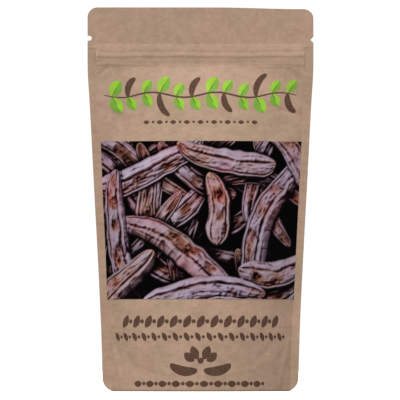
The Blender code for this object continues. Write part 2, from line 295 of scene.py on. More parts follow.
# Creases, in millimetres of the flat paper: from (u, z), to (u, z), width, and height, below zero if sunk.
creases = {
    "front": [
        (-73.6, 234.5, -73.6, 240.0, 0.7, 0.40),
        (63.0, 227.5, 72.5, 219.5, 1.8, -0.45),
        (-67.0, 228.5, -73.5, 223.0, 1.5, -0.35),
        (58.0, 199.5, 73.0, 195.0, 1.5, -0.45),
        (-73.0, 206.0, -52.0, 196.0, 2.6, 0.40),
        (-60.0, 30.0, -47.0, 12.0, 2.8, -0.20),
        (40.0, 20.0, 58.0, 34.0, 2.8, -0.20),
    ],
    "back": [
        (73.6, 234.5, 73.6, 240.0, 0.7, 0.40),
        (-60.0, 228.0, -72.5, 218.0, 1.6, -0.70),
        (64.0, 229.0, 73.5, 222.0, 1.4, -0.60),
        (-73.0, 150.0, -48.0, 171.0, 2.2, -0.85),
        (34.0, 120.0, 66.0, 96.0, 2.4, 0.75),
        (-20.0, 206.0, 18.0, 212.0, 2.6, -0.60),
        (52.0, 186.0, 72.0, 203.0, 1.8, 0.60),
        (-69.0, 92.0, -38.0, 64.0, 2.2, 0.70),
        (-8.0, 40.0, 26.0, 22.0, 2.4, -0.50),
    ],
    "both": [
        (-74.0, 44.6, -62.0, 44.3, 0.7, -0.08),
        (62.0, 44.3, 74.0, 44.6, 0.7, -0.08),
        (-72.0, 34.0, -63.0, 4.0, 1.8, 0.32),
        (63.0, 5.0, 72.0, 36.0, 1.8, 0.32),
    ],
}
dents = {"swell": (0.036, 0.00060), "dimple": (0.013, 0.00020), "crinkle": (0.0052, 0.00006)}  # size, height
dentSeeds = {"front": 21, "back": 57}


def sealHeight(u):
    # below this curve the gusset is sealed to the panels: base + rest * (1 - sqrt(1 - across^2))
    across = np.minimum(np.abs(u) / halfOpen, 1.0)
    top = paper["gussetFold"] - paper["sheet"] - finSeat
    return paper["baseSeal"] + (top - paper["baseSeal"]) * (1 - np.sqrt(1 - across**2))


def creaseBell(u, z, crease):
    # height * exp(-(distance from the crease's line / width)^2)
    startU, startZ, endU, endZ, width, height = np.array(crease) / 1000
    alongU, alongZ = endU - startU, endZ - startZ
    share = np.clip(((u - startU) * alongU + (z - startZ) * alongZ) / (alongU**2 + alongZ**2), 0.0, 1.0)
    return height * bump(np.hypot(u - startU - share * alongU, z - startZ - share * alongZ), 0.0, width)


def relief(u, z, face):
    # how far the paper's folds, dents and creases stand out: bells about lines, and noise of three sizes
    across, foot = np.abs(u), paper["zipFoot"]
    top, drop = foot + paper["zipHeight"], foot - z
    overZip = fall(across, halfOpen - 0.0012, halfOpen + 0.0004)
    wander = 0.00025 * np.sin(u * 75.0) + 0.00015 * np.sin(u * 210.0 + 1.0)
    out = 0.0 * u
    for stepFoot, stepTop, height in zipSteps:
        shift = height * fall(z + wander, stepFoot, stepTop)
        out = out + shift * rise(z, foot - 0.012, foot) * overZip
    for crease in creases[face] + creases["both"]:
        out = out + creaseBell(u, z, crease)
    flatter = hollow["deep"] * (1 - np.exp(-np.maximum(drop, 0.0) / hollow["reach"]))
    flatter = flatter + hollow["more"] * rise(drop, 0.0, 0.020)
    out = out - flatter * fall(drop, *hollow["below"]) * fall(across, *hollow["side"])
    sealed = 0.00012 * rise(sealHeight(u) - z, -0.0006, 0.0006)
    out = out - sealed * fall(across, halfOpen - 0.001, halfOpen)
    calm = 1 - 0.65 * rise(z, foot - 0.012, foot - 0.002)  # the header is flatter
    nearSeal = fall(across, 0.066, halfOpen)
    for number, (kind, (size, height)) in enumerate(dents.items()):
        seed = dentSeeds[face] + 7 * number
        ripple = softNoise(u / size + 31.3, z / size + 11.7, seed)
        ripple = ripple + 0.5 * softNoise(u / size * 2 + 5.1, z / size * 2 + 3.3, seed + 1)
        keep = nearSeal if kind == "swell" else 1 - 0.6 * rise(across, 0.070, halfOpen)
        out = out + height * ripple * keep * calm
    # where two sheets lie on each other, in the header and the side seals, neither is pressed into the other
    held = np.maximum(rise(z, 0.2437, 0.2455), rise(across, halfOpen - 0.004, halfOpen))
    out = out * (1 - held) + np.maximum(out, 0.0) * held
    out = out + zipFin["height"] * bump(z + wander, zipFin["z"], zipFin["width"]) * (1 - overZip)
    fillet = sealFillet["height"] * bump(across, halfOpen, sealFillet["width"])
    out = out + fillet * fall(z, foot - 0.010, foot)
    # over the zip the paper clears the tapes
    tape = zipTape["rest"] + zipTape["halfSheet"]
    tape = tape + zipTape["bow"] * bump(z, zipTape["ribHeight"], zipTape["bowWidth"])
    least = tape + 2 * paper["gap"] - zipSeat
    overTape = rise(z, foot - 0.0035, foot - 0.0005) * fall(z, top + 0.0002, top + 0.0012)
    end = zipTape["halfLength"]
    overTape = overTape * fall(across, end + 0.0002, end + 0.0010)
    return out * (1 - overTape) + np.maximum(out, least) * overTape


def headerWave(x, z):
    # the flat header and the side seals wave a little out of the middle plane, both panels alike
    up = rise(z, 0.205, paper["height"])
    header = paper["headerWave"] * up * np.sin(x * 31.0 + 0.6) * (0.6 + 0.4 * np.sin(x * 13.0 + z * 20.0))
    fin = rise(np.abs(x), 0.0, 0.080) ** 6 * (1 - up)
    return header + 0.0005 * fin * np.sin(z * 95.0 + np.sign(x) * 1.3)


def paperPoint(u, z, face, lift=0.0, flat=False):
    # a point of the panel at (u, z): its section, then out along the level normal by what lies under it
    x, away = section(u, z)
    beforeX, beforeAway = section(u - 0.0004, z)
    afterX, afterAway = section(u + 0.0004, z)
    slopeX, slopeAway = afterX - beforeX, afterAway - beforeAway
    size = np.hypot(slopeX, slopeAway)
    outX, outAway = -slopeAway / size, slopeX / size
    out = lift if flat else lift + relief(u, z, face)
    # neither panel is pressed through the middle plane
    x, away = x + out * outX, seat(u, z) + np.maximum(away + out * outAway, lift)
    drop = paper["topEdgeDrop"] * rise(x, 0.012, 0.072) * rise(z, 0.252, paper["height"])
    side = -1.0 if face == "front" else 1.0
    return np.stack([x, side * away + headerWave(x, z), z - drop], axis=-1)


def cornerInset(z):
    # how far the round corners pull the edge in: radius - sqrt(radius^2 - height^2)
    inset = 0.0
    for corner, away in (("bottomCorner", z), ("topCorner", paper["height"] - z)):
        radius = paper[corner]
        inset = inset + radius - np.sqrt(radius**2 - np.clip(radius - away, 0.0, radius) ** 2)
    return inset


def notchInset(z, notch):
    # depth of a tear notch: straight sides for part of it, then a point
    away, straight = np.abs(z - notch["height"]) / notch["halfOpening"], notch["straight"]
    return np.where(away < 0.999, notch["depth"] * (straight + (1 - straight) * (1 - away)), 0.0)


# columns of points: even ones over the core, and beside it shares of the way to the cut edge
edgeSteps = np.array([0.10, 0.20, 0.30, 0.39, 0.4286, 0.47, 0.56, 0.67, 0.78, 0.89, 1.0])
coreColumns = np.linspace(-paper["core"], paper["core"], 140)
columnBase = np.concatenate([-paper["core"] + 0 * edgeSteps, coreColumns, paper["core"] + 0 * edgeSteps])
columnStep = np.concatenate([-edgeSteps[::-1], 0 * coreColumns, edgeSteps])
rowSteps = [  # from a height, to a height, by a step
    (0.0102, 0.0420, 0.0012),
    (0.0425, 0.0475, 0.0005),
    (0.0485, 0.2245, 0.00128),
    (0.2250, 0.2462, 0.00045),
    (0.2464, 0.2522, 0.0003),
    (0.2530, 0.2640, 0.0011),
]


def panelColumns(z):
    # flat positions across each row: base + step * (cut edge - core)
    uncut = paper["halfWidth"] - cornerInset(z)
    left, right = [uncut - notchInset(z, notches[side]) for side in ("left", "right")]
    return columnBase + columnStep * (np.where(columnStep < 0, left, right) - paper["core"])


def panelRows():
    # heights of the rows: close together at the corners, the gusset fold, the zip and the notches
    turns = np.radians(np.linspace(0.0, 90.0, 14))
    corner = 1 - np.cos(turns)
    rows = [paper["bottomCorner"] * corner, paper["height"] - paper["topCorner"] * corner]
    for start, end, step in rowSteps:
        rows.append(np.arange(start, end, step))
    for notch in notches.values():
        rows.append(notch["height"] + notch["halfOpening"] * np.array([-1.0, -0.94, 0.0, 0.94, 1.0]))
    rows = np.sort(np.concatenate(rows))
    return rows[np.concatenate([[True], np.diff(rows) > 0.00004])]


turnOver = [0, 3, 2, 1]  # the corners of a face the other way round


def sheetFaces(rows, columns, start=0):
    # the outer grid, the inner grid turned over, and the rim between them
    outer = start + np.arange(rows * columns).reshape(rows, columns)
    inner = outer + rows * columns
    ring = np.concatenate([outer[0, :-1], outer[:-1, -1], outer[-1, :0:-1], outer[:, 0][::-1]])
    rim = gridFaces(np.stack([ring, ring + rows * columns], axis=1))
    return np.concatenate([gridFaces(outer), gridFaces(inner)[:, turnOver], rim])


def addPiece(name, points, groups, material, stands=(), attributes=None):
    # a mesh from points and groups of faces, smooth but for its sharp edges, riding on the pouch's body
    mesh = bpy.data.meshes.new(name)
    faces = [face for group in groups for face in group.tolist()]
    mesh.from_pydata(points.reshape(-1, 3).tolist(), [], faces)
    for key, values in (attributes or {}).items():
        kind, field = ("FLOAT", "value") if values.ndim == 1 else ("FLOAT_COLOR", "color")
        layer = mesh.attributes.new(key, kind, "POINT")
        layer.data.foreach_set(field, values.astype(np.float32).ravel())
    mesh.shade_smooth()
    mesh.set_sharp_from_angle(angle=math.radians(50))
    mesh.materials.append(material)
    piece = addObject(name, mesh)
    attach(piece, "root")
    if stands:
        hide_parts(*stands)
    return piece


def addSheet(name, outer, inner, turned, material, slot, stands, rubAndShade):
    # a closed thin sheet from its two faces, each a grid of points; turned where the rows run the other way
    if turned:
        outer, inner, rubAndShade = outer[:, ::-1], inner[:, ::-1], rubAndShade[:, ::-1]
    rubAndShade = {"rubAndShade": np.concatenate([rubAndShade, rubAndShade]).ravel()}
    addPiece(name, np.stack([outer, inner]), [sheetFaces(*outer.shape[:2])], material, stands, rubAndShade)


def closeAndTurn(piece):
    # ends filled, doubles merged and normals set outward
    work = bmesh.new()
    work.from_mesh(piece.data)
    bmesh.ops.remove_doubles(work, verts=work.verts, dist=1e-7)
    bmesh.ops.holes_fill(work, edges=[edge for edge in work.edges if edge.is_boundary])
    bmesh.ops.recalc_face_normals(work, faces=work.faces)
    work.to_mesh(piece.data)
    work.free()


def feed(tree, socket, value):
    # a link from another node's output, or a plain number or colour
    if isinstance(value, bpy.types.NodeSocket):
        tree.links.new(value, socket)
    else:
        socket.default_value = value if isinstance(value, float) else (*value, 1.0)


def addNode(tree, kind, settings=None, sockets=None, feeds=None):
    # settings are the node's own, sockets get plain values, feeds get another node's output
    made = tree.nodes.new("ShaderNode" + kind)
    for key, value in (settings or {}).items():
        setattr(made, key, value)
    for key, value in (sockets or {}).items():
        made.inputs[key].default_value = value
    for key, value in (feeds or {}).items():
        tree.links.new(value, made.inputs[key])
    return made


def noise(tree, where, scale, detail=3.0, roughness=0.55, distortion=0.0):
    sockets = {"Scale": scale, "Detail": detail, "Roughness": roughness, "Distortion": distortion}
    return addNode(tree, "TexNoise", {}, sockets, {"Vector": where}).outputs["Fac"]


def stretch(tree, where, scale):
    # patterns grow longer along an axis where its scale is less than 1
    return addNode(tree, "Mapping", {}, {"Scale": scale}, {"Vector": where}).outputs["Vector"]


def attribute(tree, name, output):
    return addNode(tree, "Attribute", {"attribute_name": name}).outputs[output]


def remap(tree, value, fromLow, fromHigh, toLow, toHigh):
    # one span carried over to another, and held at its ends
    sockets = {"From Min": fromLow, "From Max": fromHigh, "To Min": toLow, "To Max": toHigh}
    return addNode(tree, "MapRange", {"clamp": True}, sockets, {"Value": value}).outputs["Result"]


def blend(tree, share, first, second, kind="MIX"):
    made = addNode(tree, "Mix", {"data_type": "RGBA", "blend_type": kind})
    for place, value in ((0, share), (6, first), (7, second)):
        feed(tree, made.inputs[place], value)
    return made.outputs[2]


def maths(tree, kind, first, second):
    made = addNode(tree, "Math", {"operation": kind})
    feed(tree, made.inputs[0], first)
    feed(tree, made.inputs[1], second)
    return made.outputs[0]


def toLinear(colour):
    # a screen colour as light: ((c + 0.055) / 1.055)^2.4
    return ((np.asarray(colour) + 0.055) / 1.055) ** 2.4


# Kraft paper. Colours as they look on a screen, sizes of the patterns per metre.
kraftLook = {
    "pink": (0.684, 0.558, 0.476),
    "olive": (0.652, 0.547, 0.455),
    "light": (0.735, 0.622, 0.530),
    "dark": (0.590, 0.478, 0.398),
    "rubbedAndLit": (0.800, 0.690, 0.600),
    "shade": (0.470, 0.365, 0.300),
    "cloudScale": 30.0,
    "blotchScale": 140.0,
    "stainScale": 238.0,
    "fibreScale": 520.0,
    "fleckScale": 1500.0,
}


def paperColour(tree, where):
    # clouds of two hues, blotches, long fibres and small flecks
    look = kraftLook
    stretched = stretch(tree, where, (0.7, 1.0, 1.35))
    cloud = remap(tree, noise(tree, where, look["cloudScale"], 3.0), 0.36, 0.64, 0.0, 1.0)
    colour = blend(tree, cloud, toLinear(look["pink"]), toLinear(look["olive"]))
    blotch = remap(tree, noise(tree, where, look["blotchScale"], 4.0, 0.6), 0.40, 0.75, 0.0, 0.60)
    colour = blend(tree, blotch, colour, toLinear(look["light"]))
    stain = remap(tree, noise(tree, stretched, look["stainScale"], 4.0, 0.6), 0.50, 0.80, 0.0, 0.60)
    colour = blend(tree, stain, colour, toLinear(look["dark"]))
    fibre = remap(tree, noise(tree, stretched, look["fibreScale"], 3.0, 0.7, 0.8), 0.30, 0.70, -0.08, 0.08)
    fleck = remap(tree, noise(tree, where, look["fleckScale"], 2.0, 0.6), 0.62, 0.76, 0.0, 0.14)
    level = maths(tree, "SUBTRACT", maths(tree, "ADD", fibre, 1.0), fleck)
    return blend(tree, 1.0, colour, level, "MULTIPLY")


def makeMaterial(name, paint, rough, sheen, tooth, strength):
    # its colour comes from paint, which reads Object coordinates; its roughness wanders between two values,
    # and a bump adds fine and coarse grain
    material = bpy.data.materials.new(name)
    material.use_nodes = True
    tree = material.node_tree
    where = addNode(tree, "TexCoord").outputs["Object"]
    fine = maths(tree, "MULTIPLY", noise(tree, where, tooth, 3.0, 0.65), 0.6)
    grain = maths(tree, "ADD", fine, maths(tree, "MULTIPLY", noise(tree, where, tooth / 4, 3.0), 1.6))
    sockets = {"Strength": strength, "Distance": 0.0003}
    raised = addNode(tree, "Bump", {}, sockets, {"Height": grain})
    shader = tree.nodes["Principled BSDF"].inputs
    shader["Specular IOR Level"].default_value = sheen
    tree.links.new(paint(tree, where), shader["Base Color"])
    tree.links.new(remap(tree, noise(tree, where, 220.0, 3.0), 0.3, 0.7, *rough), shader["Roughness"])
    tree.links.new(raised.outputs["Normal"], shader["Normal"])
    return material


def kraftColour(tree, where):
    # the paper's colour, worn light and given a painted highlight on the relief's ridges, and darkened with
    # painted shade in its valleys and along the foot
    rubAndShade = attribute(tree, "rubAndShade", "Fac")
    colour = paperColour(tree, where)
    colour = blend(tree, remap(tree, rubAndShade, 0.08, 0.9, 0.0, 0.55), colour, toLinear(kraftLook["rubbedAndLit"]))
    return blend(tree, remap(tree, rubAndShade, -0.08, -1.0, 0.0, 0.60), colour, toLinear(kraftLook["shade"]))


# Printing inks, which the paper shows through a little.
inkLook = {
    "brown": (0.275, 0.170, 0.128),
    "green": (0.550, 0.770, 0.150),
    "leaf": (0.420, 0.650, 0.180),
    "cover": (0.81, 0.99),  # least and most
}


def inkColour(tone, tree, where):
    # ink of uneven depth over the paper, covering it in patches
    least, most = inkLook["cover"]
    patchy = remap(tree, noise(tree, where, 900.0, 3.0, 0.7), 0.25, 0.75, least, most)
    depth = remap(tree, noise(tree, where, 120.0, 3.0), 0.3, 0.7, 0.88, 1.12)
    ink = blend(tree, 1.0, toLinear(inkLook[tone]), depth, "MULTIPLY")
    return blend(tree, patchy, paperColour(tree, where), ink)


def printColour(tree, where):
    # the painted picture, with a fine grain of the print
    grain = remap(tree, noise(tree, where, 1600.0, 2.0, 0.6), 0.3, 0.7, 0.94, 1.06)
    return blend(tree, 1.0, attribute(tree, "picture", "Color"), grain, "MULTIPLY")


# Film of the zip and skin of the pods. Colours as light.
filmLook = {"milk": (0.78, 0.78, 0.75), "flow": (0.84, 0.84, 0.82), "scuff": (0.66, 0.65, 0.61)}
skinLook = {
    "plum": (0.042, 0.016, 0.012),
    "brown": (0.105, 0.050, 0.034),
    "bloom": (0.200, 0.135, 0.125),
    "furrow": (0.014, 0.006, 0.005),
}


def filmColour(tree, where):
    # milky film with faint flow lines along the zip and a few scuffs
    flow = remap(tree, noise(tree, stretch(tree, where, (0.05, 1.0, 1.6)), 1400.0, 3.0), 0.3, 0.7, 0.0, 1.0)
    colour = blend(tree, flow, filmLook["milk"], filmLook["flow"])
    scuff = remap(tree, noise(tree, where, 500.0, 4.0, 0.7), 0.58, 0.72, 0.0, 0.5)
    return blend(tree, scuff, colour, filmLook["scuff"])


def skinColour(tree, where):
    # dark leathery skin: brown and plum patches, grey bloom on the ridges, fine wrinkles along the pod
    patch = remap(tree, noise(tree, where, 70.0, 4.0, 0.6), 0.38, 0.62, 0.0, 1.0)
    colour = blend(tree, patch, skinLook["plum"], skinLook["brown"])
    wrinkle = noise(tree, stretch(tree, where, (2.4, 2.4, 0.35)), 240.0, 4.0, 0.65, 0.5)
    colour = blend(tree, remap(tree, wrinkle, 0.53, 0.74, 0.0, 0.7), colour, skinLook["bloom"])
    return blend(tree, remap(tree, wrinkle, 0.45, 0.30, 0.0, 0.85), colour, skinLook["furrow"])


def rubAndShadeOf(u, z, face):
    # ridges of the relief are worn light and given a painted highlight, and its valleys get painted shade:
    # minus the relief's second differences
    reach, around = 0.0007, 0.0
    for stepU, stepZ in ((reach, 0.0), (-reach, 0.0), (0.0, reach), (0.0, -reach)):
        around = around + relief(u + stepU, z + stepZ, face)
    rubAndShade = (4 * relief(u, z, face) - around) / 0.0006
    rubAndShade = rubAndShade - 1.2 * fall(z, 0.0006, 0.0018)  # the foot is darkened with painted shade where the pouch stands on the floor
    return np.clip(rubAndShade, -1.0, 1.0)


def addPanels(material):
    rows = panelRows()
    u = panelColumns(rows[:, None])
    z = rows[:, None] + 0 * u
    for face in ("front", "back"):
        # the cut edges are the same on both faces of the sheet
        outer, inner = paperPoint(u, z, face, paper["sheet"]), paperPoint(u, z, face)
        stands = (f"{face}_panel",)
        addSheet(f"{face}_paper", outer, inner, face == "back", material, "kraft", stands, rubAndShadeOf(u, z, face))
    print("panels:", len(rows), "rows of", u.shape[1])


# Gusset: the folded base.
gusset = {
    "edge": 0.0003,
    "leafRows": 26,
    "crossRows": 60,
    "crinkle": 0.00035,
    "crinkleSize": 0.009,
    "foldRidge": 0.0011,
}


def addGusset(material):
    # up the front panel to the seal curve, across to the back in an arch that sags by sag * (1 - share^2),
    # and down again
    flat = panelColumns(np.array([[paper["gussetFold"] - 0.001]]))[0]
    seal = sealHeight(flat)
    climb = np.linspace(0.0, 1.0, gusset["leafRows"])[:, None] ** 1.35
    z = gusset["edge"] + (seal - gusset["edge"]) * climb
    u = panelColumns(z)
    share = np.linspace(-1.0, 1.0, gusset["crossRows"])[1:-1, None]
    sag = paper["gussetSag"] * fall(np.abs(flat), 0.45 * halfOpen, halfOpen)
    free = fall(np.abs(flat), halfOpen - 0.004, halfOpen) * fall(np.abs(share), 0.88, 1.0)
    size = gusset["crinkleSize"]
    crinkle = gusset["crinkle"] * softNoise(flat / size + 9.1, share * 3.4 + 2.7, 5) + 0 * share
    crinkle = (crinkle + gusset["foldRidge"] * bump(share, 0.0, 0.045)) * free
    faces = []
    for layer in range(2):
        lift = -paper["gap"] - layer * paper["sheet"]
        front, back = paperPoint(u, z, "front", lift), paperPoint(u, z, "back", lift)
        arch = (front[-1] * (1 - share[..., None]) + back[-1] * (1.0 + share[..., None])) / 2
        arch[..., 2] += crinkle - sag * (1 - share**2) - layer * paper["sheet"]
        front[-1, :, 2] -= layer * 0.5 * paper["sheet"]
        back[-1, :, 2] -= layer * 0.5 * paper["sheet"]
        faces.append(np.concatenate([front, arch, back[::-1]]))
    rubAndShade = 0.0 * faces[0][..., 0]
    addSheet("gusset_paper", *faces, False, material, "kraft", ("bottom_gusset",), rubAndShade)
    print("gusset:", rubAndShade.shape)


# Picture on the label: a heap of carob pods. Sizes in millimetres of the print, colours as on a screen.
picture = {
    "width": 146.4,
    "height": 111.6,
    "fine": 2,
    "seed": 8,
    "scattered": 44,
    "light": (-0.50, 0.58, 0.64),
    "tones": {
        "skin": (0.70, 0.625, 0.69),
        "brown": (0.60, 0.475, 0.42),
        "hollow": (0.34, 0.20, 0.15),
        "gold": (0.85, 0.62, 0.36),
        "red": (0.60, 0.30, 0.28),
        "dark": (0.11, 0.05, 0.07),
        "gap": (0.022, 0.006, 0.012),
        "gloss": (0.84, 0.82, 0.94),
    },
}
# the pods on top: middle x and y, heading in degrees, length, half width, bend per metre, roll, how brown
topPods = [
    (-36.0, 33.0, 24.0, 92.0, 9.0, 9.0, 0.45, 0.10),
    (48.0, 6.0, 64.0, 118.0, 9.6, -9.0, -0.50, 0.15),
    (-14.0, -20.0, 146.0, 104.0, 9.8, 8.0, 0.55, 0.50),
    (-63.0, -8.0, 98.0, 88.0, 9.2, -8.0, -0.30, 0.20),
    (17.0, 40.0, 168.0, 74.0, 8.6, -11.0, -0.45, 0.55),
    (66.0, -36.0, 12.0, 80.0, 9.2, 12.0, 0.35, 0.30),
    (2.0, -50.0, 6.0, 92.0, 9.4, -7.0, 0.20, 0.10),
    (-58.0, -46.0, 36.0, 70.0, 9.6, 9.0, -0.50, 0.65),
    (71.0, 42.0, 128.0, 66.0, 8.4, 9.0, 0.25, 0.40),
    (12.0, 8.0, 96.0, 52.0, 8.0, 12.0, 0.10, 0.75),
]
# what each mark on a pod adds to its height, as a share of the half width, and to its tone
podHeights = {"dome": 0.62, "rims": 0.15, "grooves": -0.19, "seam": -0.05, "bulge": 0.10, "pleat": 0.055,
              "pit": -0.20, "lumpOver": 0.05, "creaseOver": 0.052, "streakOver": 0.022, "cracks": -0.035}
podTones = {"rims": 0.34, "grooves": -0.66, "seam": -0.55, "lump": 0.16, "fold": 0.15, "crease": 0.16,
            "streak": 0.16, "pit": -0.50, "cracks": -0.42}


def blur(values, size):
    # a round soft blur of the given size in cells, as a product of waves
    rows, columns = values.shape
    pad = int(3 * size)
    wide = np.pad(values, pad, mode="edge")
    fy = np.fft.fftfreq(wide.shape[0])[:, None]
    fx = np.fft.rfftfreq(wide.shape[1])[None, :]
    wave = np.exp(-2 * (np.pi * size) ** 2 * (fx**2 + fy**2))
    wide = np.fft.irfft2(np.fft.rfft2(wide) * wave, s=wide.shape)
    return wide[pad:pad + rows, pad:pad + columns]


def layPod(x, y, canvas, place, lift, seed):
    # one pod, painted over what lies there: marks are bells and noise along it and across it
    middleX, middleY, heading, length, half, bend, roll, brown = place
    turn = np.radians(heading)
    a = (x - middleX) * np.cos(turn) + (y - middleY) * np.sin(turn)
    b = -(x - middleX) * np.sin(turn) + (y - middleY) * np.cos(turn)
    near = np.hypot(a, b) < length * 0.62
    rows, columns = np.where(near.any(axis=1))[0], np.where(near.any(axis=0))[0]
    if not len(rows):
        return
    window = (slice(rows[0], rows[-1] + 1), slice(columns[0], columns[-1] + 1))
    a, b = a[window], b[window]
    # along and across the pod's curved middle line, a circle of radius 1000 / bend
    way, radius = np.sign(bend), 1000.0 / abs(bend)
    along = radius * np.arctan2(a, radius - b * way)
    across = (radius - np.hypot(a, radius - b * way)) * way
    v = 2.0 * along / length
    across = across - 1.5 * np.sin(along / 13.0 + seed) * (1 - v * v)
    side = 2.0 * np.sign(across)

    def wrinkles(size, row, number, shift=seed):
        return softNoise(along / size + shift, row + 0 * along, seed + number)

    outline = np.clip(1 - np.abs(v) ** 5.0, 0.0, 1.0) ** 0.55 * (1 - 0.16 * v - 0.10 * v * v)
    outline = outline * (1.0 + 0.07 * wrinkles(6.0, 3.0 + side / 2, 0, 9.3 * seed))
    q = across / (half * np.maximum(outline, 1e-3))
    inside = (np.abs(q) < 1.0) & (np.abs(v) < 1.0)
    q = np.clip(q, -1.0, 1.0)
    r = q + roll * (1 - q * q)  # the pod lies rolled over a little
    out, waver = np.abs(r), 0.07 * wrinkles(9.0, 4.0, 7)
    field = fall(out, 0.36, 0.62)
    mark = {
        "dome": np.sqrt(1 - q * q),
        "lump": wrinkles(6.5, r * 1.7 + 5.2, 1),
        "fold": 1 - 2.0 * np.abs(wrinkles(7.5, r * 2.6 - along / 21.0 + 9.2, 2, r * 1.3 + seed)),
        "crease": 1 - 2.0 * np.abs(wrinkles(3.4, r * 3.4 + along / 15.0 + 6.2, 6, seed - r * 0.9)),
        "streak": wrinkles(11.0, r * 13.0 + 20.0, 3, 3.0 * seed),
        "pit": field * np.clip(wrinkles(8.5, r * 1.1 + 7.0, 4, 1.7 * seed) + 0.12, 0.0, 1.0),
        "rims": bump(out, 0.83 + waver, 0.15) * (0.72 + 0.42 * wrinkles(5.0, side + 30.0, 8)),
        "grooves": bump(out, 0.60 + waver, 0.085) * (0.78 + 0.36 * wrinkles(7.0, side + 50.0, 11)),
        "seam": bump(out, 0.88 + waver, 0.035) * rise(wrinkles(8.0, side + 20.0, 12), -0.6, 0.3),
        "cracks": bump(wrinkles(8.0, r * 4.2 + along / 26.0 + 3.7, 9, 2.0 * seed), 0.0, 0.11)
        * rise(wrinkles(12.0, r * 1.5 + 11.0, 10), -0.25, 0.25),
    }
    mark["bulge"], mark["pleat"] = field * mark["lump"], field * mark["fold"]
    for key in ("lump", "crease", "streak"):
        mark[key + "Over"] = mark[key] * mark["dome"]
    warm = brown + 0.9 * mark["pit"] + 0.5 * mark["grooves"] + 0.35 * wrinkles(15.0, r * 0.8 + 3, 5)
    layers = {
        "height": lift + half * sum(share * mark[key] for key, share in podHeights.items()),
        "tone": 0.60 + sum(share * mark[key] for key, share in podTones.items()),
        "warm": np.clip(warm, 0.0, 1.0),
        "tip": rise(np.abs(v), 0.90, 1.0) * brown,
        "edge": rise(np.abs(q), 0.84, 0.98),
    }
    for key, values in layers.items():
        canvas[key][window] = np.where(inside, values, canvas[key][window])


def paintPicture(rows, columns):
    # the heap is painted finer than the print, lit, and averaged down to it
    fine = picture["fine"]
    spans = ((columns * fine, picture["width"]), (rows * fine, picture["height"]))
    x, y = np.meshgrid(*[(np.arange(count) + 0.5) / count * size - size / 2 for count, size in spans])
    canvas = {key: 0 * x for key in ("tone", "warm", "tip", "edge")}
    canvas["height"] = 0 * x - 9.0
    draw = np.random.default_rng(picture["seed"])
    for number in range(1, picture["scattered"] + 1):
        place = [draw.uniform(*span) for span in ((-78, 78), (-60, 60), (0, 360), (50, 85), (5.0, 8.2))]
        place.append(draw.choice([-1, 1]) * draw.uniform(5, 15))
        place += [draw.uniform(-0.5, 0.5), draw.uniform(0.1, 1.0)]
        layPod(x, y, canvas, place, -8.5 + 0.17 * number, number)
    for order, place in enumerate(topPods):
        layPod(x, y, canvas, place, 4.0 + 1.3 * order, number + 1 + order)

    # light: the heap's slope against the lamp, and less of it the deeper a place lies in the heap
    height = canvas["height"]
    slopes = np.gradient(blur(height, 0.8), picture["width"] / (columns * fine))
    slopeY, slopeX = np.clip(slopes, -2.2, 2.2)
    size = np.sqrt(slopeX**2 + slopeY**2 + 1.0)

    def facing(way):
        return np.clip((-slopeX * way[0] - slopeY * way[1] + way[2]) / size / np.linalg.norm(way), 0.0, 1.0)

    light = np.array(picture["light"]) / np.linalg.norm(picture["light"])
    lit, gloss = facing(light), facing(light + np.array([0.0, 0.0, 1.0])) ** 22
    deep = np.clip(blur(height, 3.3 * fine) - height, 0.0, None)
    deep = deep + 0.8 * np.clip(blur(height, 11.0 * fine) - height, 0.0, None)
    below = rise(height, -7.0, 4.5)
    openSky = np.exp(-deep / 2.0) * (0.05 + 0.95 * below) * (1 - 0.75 * canvas["edge"])

    # colour: skin by tone and brownness, reddish patches, gloss
    tones = {key: toLinear(value) for key, value in picture["tones"].items()}
    tone = np.clip(canvas["tone"], 0.0, 1.2)
    warm, tip = canvas["warm"][..., None], 0.8 * canvas["tip"][..., None]
    skin = (tones["skin"] * (1 - warm) + tones["brown"] * warm) * (1 - tip) + tones["gold"] * tip
    under = tones["dark"] * (1 - warm) + tones["hollow"] * warm
    colour = under + (skin - under) * rise(tone, 0.05, 1.0)[..., None]
    reddish = (0.35 * np.clip(softNoise(x / 17.0 + 40, y / 17.0 + 40, 77), 0, 1))[..., None]
    colour = colour * (1 - reddish) + colour * tones["red"] / tones["red"].mean() * reddish
    shine = 0.42 * gloss * rise(tone, 0.30, 0.9)
    shine = shine * (0.6 + 0.4 * softNoise(x / 2.2 + 50, y / 2.2 + 50, 78))
    colour = colour * (0.10 + 1.62 * lit[..., None] ** 1.7) + tones["gloss"] * shine[..., None]
    colour = 1.08 * colour * openSky[..., None] + tones["gap"] * (1 - 0.9 * below)[..., None]

    # a printer's curves: bright places held back, dark ones darker, middle ones lighter, light ones cooler
    colour = 0.52 * (1 - np.exp(-1.22 * colour / 0.40)) * np.array([1.06, 0.93, 1.0])
    colour = np.maximum(colour - 0.0035, 0.0005)
    colour = colour.reshape(rows, fine, columns, fine, 3).mean(axis=(1, 3))
    level = colour.mean(axis=-1, keepdims=True)
    curve = 0.26 + 0.95 * rise(level, 0.010, 0.058) - 0.36 * rise(level, 0.15, 0.38)
    tint = np.array([1.02, 0.91, 0.94]) + np.array([0.0, 0.14, 0.17]) * rise(level, 0.03, 0.13)
    return colour * curve * tint


# Label: the picture, on a thin print that lies on the front panel.
label = {
    "left": (-0.0748, -0.0731),  # at the foot and at the top
    "right": (0.0748, 0.0744),
    "bottom": 0.065,
    "top": 0.1766,
    "thickness": 0.00012,
    "columns": 340,
    "rows": 233,
    "backStep": 4,  # the hidden back has a row for every fourth of the front
}


